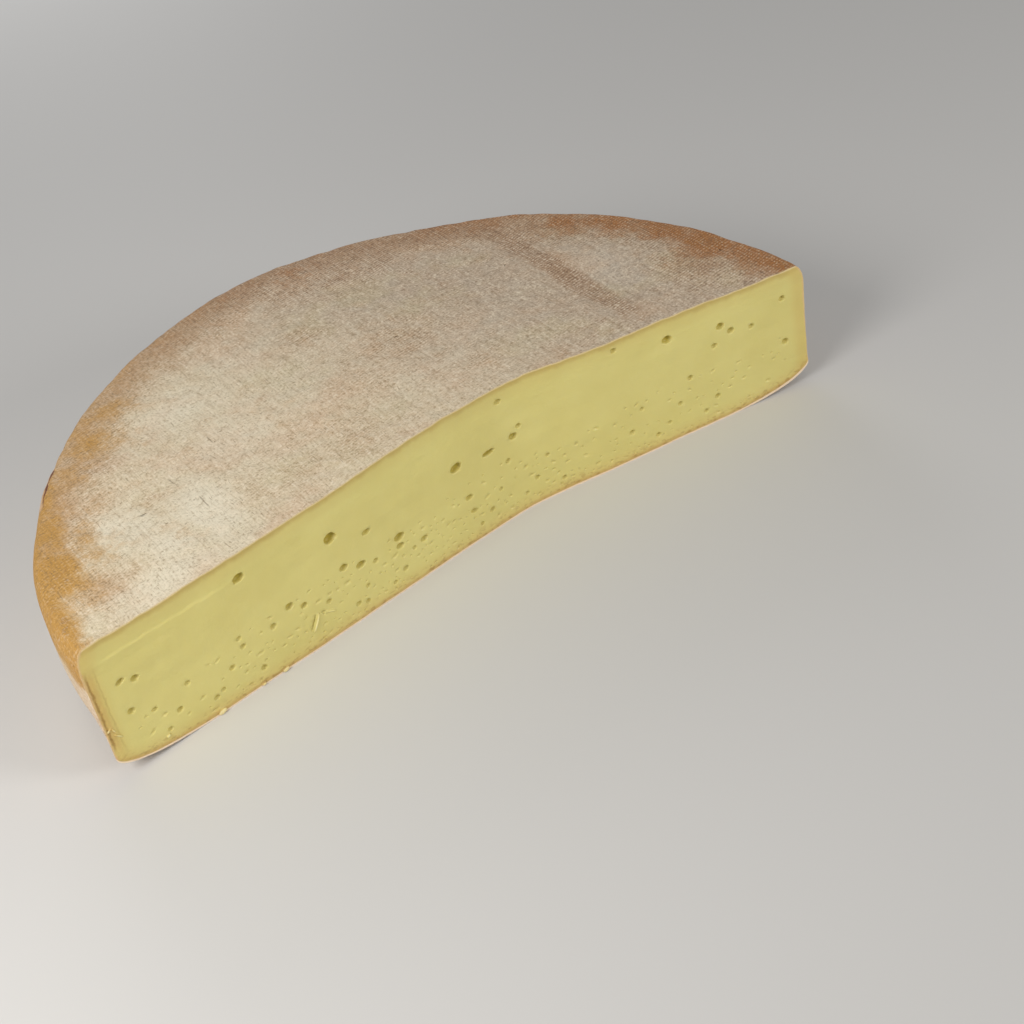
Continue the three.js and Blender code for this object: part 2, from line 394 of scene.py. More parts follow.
def top_rise(x):
    """How far the swollen top lies above the wheel's height."""
    return sum(rise * np.exp(-(((x - place) / reach) ** 2)) for place, reach, rise in TOP_SWELLS)


def cut_line(x):
    """Place of the cut along Y: two straight lines that meet in a soft fold."""
    left = (FOLD_Y - CUT_ENDS) / (WHEEL_RADIUS + FOLD_X)
    right = (CUT_ENDS - FOLD_Y) / (WHEEL_RADIUS - FOLD_X)
    off = x - FOLD_X
    return FOLD_Y + (left + right) / 2 * off + (right - left) / 2 * np.hypot(off, FOLD_SOFTNESS)


def cut_angle(x):
    """Turn of the cut about Z."""
    return math.atan(cut_line(x + 0.5) - cut_line(x - 0.5))


def cloth_fold(x, y):
    """Strength of the shallow fold that the cloth pressed into the top."""
    place, lean, half = CLOTH_FOLD
    start, end = CLOTH_FOLD_ENDS
    across = (x - place - lean * y) / half
    return np.exp(-(across**4)) * smooth_step(*start, y) * smooth_step(*end, y)


def top_relief(x, y):
    """Height of the top's uneven surface above the swollen one."""
    return layers(np.c_[x, y], TOP_RELIEF) - CLOTH_FOLD_DEPTH * cloth_fold(x, y)


def uneven(points):
    """Moves points of the perfect wheel to the uneven one. The base stays flat."""
    x, y, z = points.T
    angle = np.arctan2(y, x)
    radius = np.hypot(x, y)
    share = (radius / WHEEL_RADIUS) ** 4
    lifted = z / WHEEL_HEIGHT
    out = rim_outward(angle, z) * share
    out += layers(points, RIM_RELIEF) * share * smooth_step(*RIM_RELIEF_START, z)
    crack, lip = rim_crack(angle, z)
    near_rim = smooth_step(*NEAR_RIM, WHEEL_RADIUS - radius)
    out += (CRACK_LIP * lip - CRACK_DEPTH * crack) * near_rim
    scale = 1 + out / np.maximum(radius, 1)
    rise = top_rise(x) + top_relief(x, y) * smooth_step(*TOP_RELIEF_START, lifted)
    return np.c_[x * scale, y * scale, z + rise * lifted]


def new_object(name, vertices, faces, slot):
    """A mesh object with the rind in slot 0 and the paste in slot 1. All its faces use one slot."""
    mesh = bpy.data.meshes.new(name)
    mesh.from_pydata(np.asarray(vertices).tolist(), [], faces)
    for material in (RIND, PASTE):
        mesh.materials.append(material)
    mesh.polygons.foreach_set("material_index", np.full(len(mesh.polygons), slot, np.int32))
    mesh.update()
    piece = bpy.data.objects.new(name, mesh)
    bpy.context.scene.collection.objects.link(piece)
    return piece


def wheel():
    """The whole uneven wheel, turned about its axis."""
    base = BASE_ROLL[1] * (1 - np.cos(np.linspace(0, math.pi / 2, BASE_RINGS)))
    wall = np.linspace(BASE_ROLL[1], WHEEL_HEIGHT - TOP_SHOULDER[1], WALL_RINGS)[1:-1]
    turn = np.linspace(0, math.pi / 2, SHOULDER_RINGS)
    shoulder = WHEEL_HEIGHT - TOP_SHOULDER[1] * (1 - np.sin(turn))
    side = np.r_[base, wall, shoulder]
    inner, margin, count = BASE_FLAT
    flat_base = [(r, 0.0) for r in np.linspace(inner, rim_radius(np.array(0.0)) - margin, count)]
    rim = list(zip(rim_radius(side), side))
    first, last, pitch = TOP_RINGS
    top = [(r, WHEEL_HEIGHT) for r in np.arange(rim[-1][0] - first, last, -pitch)]
    rings = np.array(flat_base + rim + top)
    steps = WHEEL_STEPS
    angle = np.arange(steps) * 2 * math.pi / steps
    around = np.stack([np.outer(rings[:, 0], np.cos(angle)), np.outer(rings[:, 0], np.sin(angle))], -1)
    heights = np.repeat(rings[:, 1:2], steps, 1)[..., None]
    points = np.concatenate([around, heights], -1).reshape(-1, 3)
    points = uneven(np.vstack([points, [[0, 0, 0], [0, 0, WHEEL_HEIGHT]]]))
    ring, step = np.meshgrid(np.arange(len(rings) - 1), np.arange(steps), indexing="ij")
    a = (ring * steps + step).ravel()
    b = (ring * steps + (step + 1) % steps).ravel()
    faces = np.stack([a, b, b + steps, a + steps], -1).tolist()
    low = len(points) - 2
    last = (len(rings) - 1) * steps
    for j in range(steps):
        k = (j + 1) % steps
        faces.append([k, j, low])
        faces.append([last + j, last + k, low + 1])
    return new_object("wheel", points, faces, 0)


def knife_marks(x, z):
    """How far the cut lies behind its plan: slow waves, a step below the top and cracks inside the rind."""
    marks = layers(np.c_[x, z * KNIFE_STRETCH], KNIFE_WAVES)
    slope = (STEP_END[1] - STEP_START[1]) / (STEP_END[0] - STEP_START[0])
    height = layers(np.c_[x], [STEP_WAVE], STEP_START[1] + slope * (x - STEP_START[0]))
    along = smooth_step(*STEP_FADES[0], x - STEP_START[0]) * smooth_step(*STEP_FADES[1], x - STEP_END[0])
    marks += STEP_DEPTH * along * smooth_step(-STEP_WIDTH, STEP_WIDTH, z - height)
    line = cut_line(x)
    rim = WHEEL_RADIUS + rim_outward(np.arctan2(line, x), z) - np.hypot(x, line)
    rim = rim - corner_inset(TOP_SHOULDER, WHEEL_HEIGHT - z)
    for inset, depth, low, high in RIND_CRACKS:
        wavy = layers(np.c_[z], RIND_CRACK_WAVES, inset)
        share = smooth_step(*RIND_CRACK_FADES[0], z - low) * smooth_step(*RIND_CRACK_FADES[1], z - high)
        share = share * (x < 0) * layers(np.c_[z], [RIND_CRACK_CHANGE], RIND_CRACK_SHARE)
        marks += depth * share * np.exp(-(((rim - wavy) / RIND_CRACK_WIDTH) ** 2))
    return marks


def behind_cut():
    """A block whose front is the cut."""
    columns = np.concatenate([np.arange(*row) for row in CUT_COLUMNS])
    xs = np.r_[-BLOCK_REACH, columns, BLOCK_REACH]
    zs = np.concatenate([np.linspace(*row) for row in CUT_ROWS])
    x, z = [v.ravel() for v in np.meshgrid(xs, zs, indexing="ij")]
    front = np.c_[x, cut_line(x) + knife_marks(x, z), z]
    back = np.c_[x, np.full(len(x), BLOCK_BACK), z]
    nx, nz = len(xs), len(zs)
    index = np.arange(nx * nz).reshape(nx, nz)
    other = index + nx * nz
    a, b, c, d = index[:-1, :-1], index[1:, :-1], index[1:, 1:], index[:-1, 1:]
    quads = [np.stack([a, b, c, d], -1).reshape(-1, 4)]
    quads.append(np.stack([d, c, b, a], -1).reshape(-1, 4) + nx * nz)
    quads.append(np.stack([index[1:, 0], index[:-1, 0], other[:-1, 0], other[1:, 0]], -1))
    quads.append(np.stack([index[:-1, -1], index[1:, -1], other[1:, -1], other[:-1, -1]], -1))
    quads.append(np.stack([index[0, :-1], index[0, 1:], other[0, 1:], other[0, :-1]], -1))
    quads.append(np.stack([index[-1, 1:], index[-1, :-1], other[-1, :-1], other[-1, 1:]], -1))
    return new_object("behind_cut", np.vstack([front, back]), np.vstack(quads).tolist(), 1)


def fine_eyes():
    """Fine eyes by an even rule, clear of the listed ones and of each other."""
    eyes = []
    reach = WHEEL_RADIUS - FINE_MARGIN
    for i in range(1, FINE_EYES + 1):
        along, up, size = [(i * step) % 1 for step in EVEN_STEPS]
        width = FINE_SIZE[0] + (FINE_SIZE[1] - FINE_SIZE[0]) * size
        x = -reach + 2 * reach * along
        z = FINE_BAND[0] + (FINE_BAND[1] - FINE_BAND[0]) * up * up
        if all(math.hypot(x - e[0], z - e[1]) > (width + e[2]) / 2 + FINE_GAP for e in list(EYES) + eyes):
            eyes.append((x, z, width, width * FINE_FLATNESS))
    return eyes


def dents(taken):
    """Soft shallow dents in the lower part of the cut, closer together towards the fold."""
    rng = np.random.RandomState(DENT_SEED)
    middle, reach, elsewhere = DENT_CROWD
    lowest, rise, ends = DENT_LOWEST
    found = []
    while len(found) < DENTS:
        x = rng.uniform(*DENT_SPAN)
        z = DENT_BAND[0] + (DENT_BAND[1] - DENT_BAND[0]) * rng.uniform() ** 1.7
        size = DENT_SIZE[0] + (DENT_SIZE[1] - DENT_SIZE[0]) * rng.uniform() ** 2
        length = size * rng.uniform(*DENT_LENGTH)
        if rng.uniform() > elsewhere + (1 - elsewhere) * math.exp(-(((x - middle) / reach) ** 2)):
            continue
        if z < lowest + rise * smooth_step(*ends, abs(x)):
            continue
        if all(math.hypot(x - e[0], z - e[1]) > (length + e[2]) / 2 + DENT_GAP for e in taken + found):
            found.append((x, z, length, size))
    return found


def lathe(radii, depths, count):
    """Points of a closed solid turned about Y, and its faces. The last ring is drawn together to a point."""
    turn = np.arange(count) * 2 * math.pi / count
    rings = []
    for r, depth in zip(radii[:-1], depths[:-1]):
        rings.append(np.c_[r * np.cos(turn), np.full(count, depth), r * np.sin(turn)])
    points = np.vstack(rings + [[(0, depths[0], 0)], [(0, depths[-1], 0)]])
    ring, step = np.meshgrid(np.arange(len(rings) - 1), np.arange(count), indexing="ij")
    a = (ring * count + step).ravel()
    b = (ring * count + (step + 1) % count).ravel()
    faces = np.stack([a, a + count, b + count, b], -1).tolist()
    mouth, bottom = len(points) - 2, len(points) - 1
    last = (len(rings) - 1) * count
    for j in range(count):
        k = (j + 1) % count
        faces.append([j, k, mouth])
        faces.append([last + k, last + j, bottom])
    return points, faces


def eye_solid(width, height):
    """A round hollow with a rolled edge, its mouth outside the cut."""
    depth = EYE_DEPTH * (width + height) / 2
    turn = np.linspace(*EYE_RINGS) * math.pi / 2
    hollow = depth * np.sin(turn)
    deep = np.r_[EYE_EDGE_DEPTHS, hollow[hollow > EYE_INSIDE]]
    radii = np.sqrt(np.clip(1 - (np.clip(deep, 0, None) / depth) ** EYE_ROUNDNESS, 0, 1))
    roll = EYE_ROLL * np.exp(-np.clip(deep, EYE_EDGE_DEPTHS[1], None) / EYE_ROLL_DEPTH)
    points, faces = lathe(radii, deep, EYE_SIDES[0] if width > LARGE_EYE else EYE_SIDES[1])
    share = np.interp(points[:, 1], deep, roll)
    across = np.hypot(points[:, 0], points[:, 2])
    out = np.where(across > 0, share / np.maximum(across, 0.01), 0)[:, None]
    flat = points * (width / 2, 1, height / 2)
    return flat + points * out * (1, 0, 1), faces


def dent_solid(width, height):
    """A shallow dish with a soft edge, its mouth outside the cut."""
    depth = DENT_DEPTH[0] + DENT_DEPTH[1] * height
    points, faces = lathe(DENT_RADII, np.array(DENT_DEPTHS) * depth, DENT_SIDES)
    return points * (width / 2, 1, height / 2), faces


def at_cut(shapes, seed):
    """One mesh of solids set into the cut: each has a place along X, a height, a turn, points and faces."""
    rng = np.random.RandomState(seed)
    vertices, faces, count = [], [], 0
    for x, z, turn, points, corners in shapes:
        bump = 1 + HOLLOW_BUMP * noise(points * 3 + rng.uniform(0, 90, 3), *HOLLOW_WAVES)
        shaped = points * np.c_[bump, np.ones(len(bump)), bump]
        spin = Matrix.Rotation(cut_angle(x), 3, "Z") @ Matrix.Rotation(-math.radians(turn), 3, "Y")
        marks = knife_marks(np.array([x]), np.array([z]))[0]
        vertices.append(shaped @ np.array(spin).T + (x, cut_line(x) + marks, z))
        faces += [[v + count for v in corner] for corner in corners]
        count += len(points)
    return new_object("at_cut", np.vstack(vertices), faces, 1)


def hollows():
    """Eyes and dents as solids to take away."""
    rng = np.random.RandomState(TURN_SEED)
    listed = list(EYES) + fine_eyes()
    shapes = []
    for x, z, width, height in listed:
        shapes.append((x, z, rng.uniform(-EYE_TURN, EYE_TURN)) + eye_solid(width, height))
    for x, z, width, height in dents(listed):
        shapes.append((x, z, rng.uniform(-DENT_TURN, DENT_TURN)) + dent_solid(width, height))
    return at_cut(shapes, HOLLOW_SEED)


def ball(level):
    """Points and faces of a ball of width 1."""
    shape = bmesh.new()
    bmesh.ops.create_icosphere(shape, subdivisions=level, radius=0.5)
    points = np.array([v.co[:] for v in shape.verts])
    faces = [[v.index for v in f.verts] for f in shape.faces]
    shape.free()
    return points, faces


def rounded(rows, seed):
    """Curls, crumbs and scratches: place along X, height, length, width, depth, turn."""
    points, corners = ball(3)
    shapes = []
    for x, z, length, width, deep, turn in rows:
        shapes.append((x, z, turn, points * (length, deep, width), corners))
    return at_cut(shapes, seed)


def nicks():
    """Small nicks in the top as solids to take away."""
    points, corners = ball(3)
    vertices, faces = [], []
    for x, y, length, width, turn in NICKS:
        height = WHEEL_HEIGHT + top_rise(x) + top_relief(np.array([x]), np.array([y]))[0]
        spin = np.array(Matrix.Rotation(math.radians(turn), 3, "Z"))
        faces += [[v + len(points) * len(vertices) for v in corner] for corner in corners]
        vertices.append(points * (length, width, 2 * NICK_DEPTH) @ spin.T + (x, y, height))
    return new_object("nicks", np.vstack(vertices), faces, 0)


def cut_by(piece, tool, operation):
    """Replaces a piece's mesh by its Boolean with a tool, which is then removed."""
    change = piece.modifiers.new("cut", "BOOLEAN")
    change.operation = operation
    change.solver = "MANIFOLD"
    change.material_mode = "INDEX"
    change.object = tool
    seen = bpy.context.evaluated_depsgraph_get()
    mesh = bpy.data.meshes.new_from_object(piece.evaluated_get(seen))
    piece.modifiers.clear()
    old = piece.data
    piece.data = mesh
    bpy.data.meshes.remove(old)
    used = tool.data
    bpy.data.objects.remove(tool)
    bpy.data.meshes.remove(used)


def sharp_rind_edge(mesh):
    """Keeps the edge between rind and paste crisp; the eyes' rolled edges stay soft."""
    shape = bmesh.new()
    shape.from_mesh(mesh)
    for edge in shape.edges:
        slots = {face.material_index for face in edge.link_faces}
        edge.smooth = len(slots) < 2
    shape.to_mesh(mesh)
    shape.free()


def blobs(x, y, spots):
    """Strength of soft round spots. Where they overlap, the strongest counts."""
    total = np.zeros(len(x))
    for px, py, rx, ry, strength in spots:
        total = np.maximum(total, strength * np.exp(-(((x - px) / rx) ** 2) - ((y - py) / ry) ** 2))
    return total


def add_field(mesh, name, values):
    """One number for each vertex, which a material reads by name."""
    field = mesh.attributes.new(name, "FLOAT", "POINT")
    field.data.foreach_set("value", np.asarray(values, np.float32))


def nick_depth(x, y, z, surface):
    """How deep a point lies in a nick, 0 to 1, and 0 away from the nicks."""
    near = np.zeros(len(x))
    for px, py, length, _, _ in NICKS:
        near = np.maximum(near, np.hypot(x - px, y - py) < length)
    return near * np.clip((surface - z) / NICK_DEPTH, 0, 1)


def paint(mesh):
    """Fields that the materials read: depths under the rind and in the eyes, and the rind's colours."""
    flat = np.empty(len(mesh.vertices) * 3)
    mesh.vertices.foreach_get("co", flat)
    points = flat.reshape(-1, 3)
    x, y, z = points.T
    angle = rim_turn(x, y)
    rise = top_rise(x)
    level = z / (1 + rise / WHEEL_HEIGHT)
    reach = WHEEL_RADIUS + rim_outward(angle, level)
    inside = reach - np.hypot(x, y)
    roll = np.clip((BASE_ROLL[0] - inside) / BASE_ROLL[0], 0, 1)
    base = BASE_ROLL[1] * (1 - np.sqrt(1 - roll**2))
    shoulder = corner_inset(TOP_SHOULDER, WHEEL_HEIGHT - level)
    surface = WHEEL_HEIGHT + rise + top_relief(x, y)
    add_field(mesh, "under_top", surface - z)
    add_field(mesh, "over_base", z - base)
    add_field(mesh, "inside_rim", inside - shoulder)
    add_field(mesh, "sunk", y - cut_line(x) - knife_marks(x, z))
    add_field(mesh, "nick", nick_depth(x, y, z, surface))
    wall = smooth_step(*WALL_TOP, layers(points, WALL_WAVES, z)) * smooth_step(*WALL_INSET, inside)
    degrees = np.degrees(angle)
    patches = np.clip(layers(points, WALL_PATCHES, WALL_STAIN[0]), 0, WALL_STAIN[1])
    border = BORDER * smooth_step(*BORDER_INSET, inside) * smooth_step(*BORDER_END, degrees)
    stain = np.maximum(blobs(x, y, STAINS), border)
    add_field(mesh, "stain", stain * (1 - wall) + patches * wall)
    add_field(mesh, "bloom", blobs(x, y, BLOOMS) * (1 - WALL_LACKS_BLOOM * wall))
    ends = np.maximum(smooth_step(*EDGE_ENDS[0], degrees), smooth_step(*EDGE_ENDS[1], degrees))
    edge = smooth_step(*EDGE_INSET, inside) * (EDGE[0] + EDGE[1] * ends)
    add_field(mesh, "ochre", np.maximum(blobs(x, y, OCHRES), edge) * (1 - WALL_LACKS_GOLD * wall))
    add_field(mesh, "wall", wall)
    # Darker and duller towards the back right: partly the rind's own colour, partly painted shade where the
    # light falls off
    add_field(mesh, "dull_and_shaded", smooth_step(*DULL_AND_SHADED, x + DULL_AND_SHADED_WAY * y))
    middle = np.exp(-(((y - BAND_MIDDLE[0]) / BAND_MIDDLE[1]) ** 2))
    along = BAND_STRENGTH[0] + BAND_STRENGTH[1] * middle + BAND_STRENGTH[2] * smooth_step(*BAND_FAR, y)
    add_field(mesh, "band", cloth_fold(x, y) * along * (1 - wall))
    crack, lip = rim_crack(angle, level)
    near = smooth_step(*NEAR_RIM, inside)
    add_field(mesh, "crack", crack * near)
    add_field(mesh, "lip", lip * near)


def lay_out(mesh):
    """A UV map for baking: the top, the cut, the rim in two strips and, drawn smaller, the base."""
    flat = np.empty(len(mesh.vertices) * 3)
    mesh.vertices.foreach_get("co", flat)
    corners = np.empty(len(mesh.loops), np.int32)
    mesh.loops.foreach_get("vertex_index", corners)
    sides = np.empty(len(mesh.polygons), np.int32)
    mesh.polygons.foreach_get("loop_total", sides)
    slots = np.empty(len(mesh.polygons), np.int32)
    mesh.polygons.foreach_get("material_index", slots)
    normals = np.empty(len(mesh.polygons) * 3)
    mesh.polygons.foreach_get("normal", normals)
    centres = np.empty(len(mesh.polygons) * 3)
    mesh.polygons.foreach_get("center", centres)
    x, y, z = flat.reshape(-1, 3)[corners].T
    turn = rim_turn(x, y)
    up = np.repeat(normals[2::3], sides)
    paste = np.repeat(slots == 1, sides)
    on_left = np.repeat(rim_turn(centres[0::3], centres[1::3]) > math.pi / 2, sides)
    parts = [paste, up > FACING, up < -FACING, on_left]
    across = [
        x + BAKE_CUT[0],
        x + BAKE_TOP[0],
        BAKE_BASE[0] + BAKE_BASE_SCALE * (x + BAKE_TOP[0]),
        (turn - math.pi / 2) * WHEEL_RADIUS + BAKE_RIM_LEFT[0],
    ]
    upward = [
        z + BAKE_CUT[1],
        y + BAKE_TOP[1],
        BAKE_BASE[1] + BAKE_BASE_SCALE * (y + BAKE_TOP[1]),
        z + BAKE_RIM_LEFT[1],
    ]
    across = np.select(parts, across, turn * WHEEL_RADIUS + BAKE_RIM_RIGHT[0])
    upward = np.select(parts, upward, z + BAKE_RIM_RIGHT[1])
    layer = mesh.uv_layers.new(name="OFBake")
    layer.data.foreach_set("uv", (np.c_[across, upward] / BAKE_SHEET).ravel())


class Nodes:
    """A short way to write a material's nodes."""

    def __init__(self, name):
        self.material = bpy.data.materials.new(name)
        self.material.use_nodes = True
        self.tree = self.material.node_tree
        self.shader = self.tree.nodes["Principled BSDF"]

    def add(self, kind, **settings):
        node = self.tree.nodes.new(kind)
        for key, value in settings.items():
            setattr(node, key, value)
        return node

    def put(self, socket, value):
        """Links a socket to another, or sets it to a constant."""
        if isinstance(value, bpy.types.NodeSocket):
            self.tree.links.new(value, socket)
        else:
            socket.default_value = value

    def math(self, operation, a, b=0.0):
        node = self.add("ShaderNodeMath", operation=operation)
        self.put(node.inputs[0], a)
        self.put(node.inputs[1], b)
        return node.outputs[0]

    def field(self, name):
        return self.add("ShaderNodeAttribute", attribute_name=name).outputs["Fac"]

    def place(self):
        """Object coordinates in millimetres."""
        node = self.add("ShaderNodeVectorMath", operation="SCALE")
        self.put(node.inputs[0], self.add("ShaderNodeTexCoord").outputs["Object"])
        node.inputs["Scale"].default_value = 1 / MM
        return node.outputs[0]

    def stretch(self, vector, scales):
        node = self.add("ShaderNodeVectorMath", operation="MULTIPLY")
        self.put(node.inputs[0], vector)
        node.inputs[1].default_value = scales
        return node.outputs[0]

    def plus(self, a, b):
        node = self.add("ShaderNodeVectorMath", operation="ADD")
        self.put(node.inputs[0], a)
        self.put(node.inputs[1], b)
        return node.outputs[0]

    def noise(self, vector, wave, detail=3.0, rough=0.55, colour=False):
        node = self.add("ShaderNodeTexNoise")
        self.put(node.inputs["Vector"], vector)
        node.inputs["Scale"].default_value = 1 / wave
        node.inputs["Detail"].default_value = detail
        node.inputs["Roughness"].default_value = rough
        return node.outputs["Color" if colour else "Fac"]

    def step(self, value, low, high, to_low=0.0, to_high=1.0):
        """A smooth step between two values of the input. Low may be the larger one."""
        node = self.add("ShaderNodeMapRange", interpolation_type="SMOOTHSTEP")
        self.put(node.inputs["Value"], value)
        for key, number in zip(("From Min", "From Max", "To Min", "To Max"), (low, high, to_low, to_high)):
            node.inputs[key].default_value = number
        return node.outputs["Result"]

    def mix(self, share, a, b):
        """A colour between two, by a share of 0 to 1."""
        node = self.add("ShaderNodeMix", data_type="RGBA")
        self.put(node.inputs[0], share)
        self.put(node.inputs[6], a)
        self.put(node.inputs[7], b)
        return node.outputs[2]

    def blend(self, share, a, b):
        """A number between two, by a share of 0 to 1."""
        node = self.add("ShaderNodeMix", data_type="FLOAT")
        self.put(node.inputs[0], share)
        self.put(node.inputs[2], a)
        self.put(node.inputs[3], b)
        return node.outputs[0]

    def around(self, value, size):
        """Noise of 0 to 1 as a change of either sign."""
        return self.math("MULTIPLY", self.math("SUBTRACT", value, 0.5), size)

    def wave(self, value, pitch):
        """A cosine of 0 to 1 along a length in millimetres."""
        turn = self.math("COSINE", self.math("MULTIPLY", value, 2 * math.pi / pitch))
        return self.math("ADD", self.math("MULTIPLY", turn, 0.5), 0.5)

    def split(self, vector):
        node = self.add("ShaderNodeSeparateXYZ")
        self.put(node.inputs[0], vector)
        return node.outputs

    def bump(self, height, distance, strength):
        """A normal from a height of 0 to 1 that stands for a distance in millimetres."""
        node = self.add("ShaderNodeBump")
        self.put(node.inputs["Height"], height)
        node.inputs["Distance"].default_value = distance * MM
        node.inputs["Strength"].default_value = strength
        return node.outputs[0]


def srgb(red, green, blue):
    """A colour of 0 to 255 as the shader's linear one."""
    parts = [v / 255 for v in (red, green, blue)]
    return tuple(v / 12.92 if v <= 0.04045 else ((v + 0.055) / 1.055) ** 2.4 for v in parts) + (1.0,)


def cloth_print(n, moved):
    """The print of the cheese cloth, 0 between threads and 1 on them, for the top and for the rim."""
    x, y, z = n.split(moved)
    slant = n.math("ADD", n.math("MULTIPLY", y, WEFT_WAY[1]), n.math("MULTIPLY", x, WEFT_WAY[0]))
    rows = n.wave(slant, WEFT_PITCH)
    columns = n.math("ADD", n.math("MULTIPLY", n.wave(x, WARP_PITCH), 0.6), 0.4)
    on_top = n.math("MULTIPLY", rows, columns)
    turn = n.math("ARCTAN2", n.math("SUBTRACT", y, AXIS[1]), n.math("SUBTRACT", x, AXIS[0]))
    round_rim = n.math("MULTIPLY", turn, WHEEL_RADIUS)
    on_rim = n.math("MULTIPLY", n.wave(round_rim, WARP_PITCH), n.wave(z, WEFT_PITCH))
    facing = n.split(n.add("ShaderNodeNewGeometry").outputs["True Normal"])[2]
    return n.blend(n.step(facing, 0.5, 0.8), on_rim, on_top)


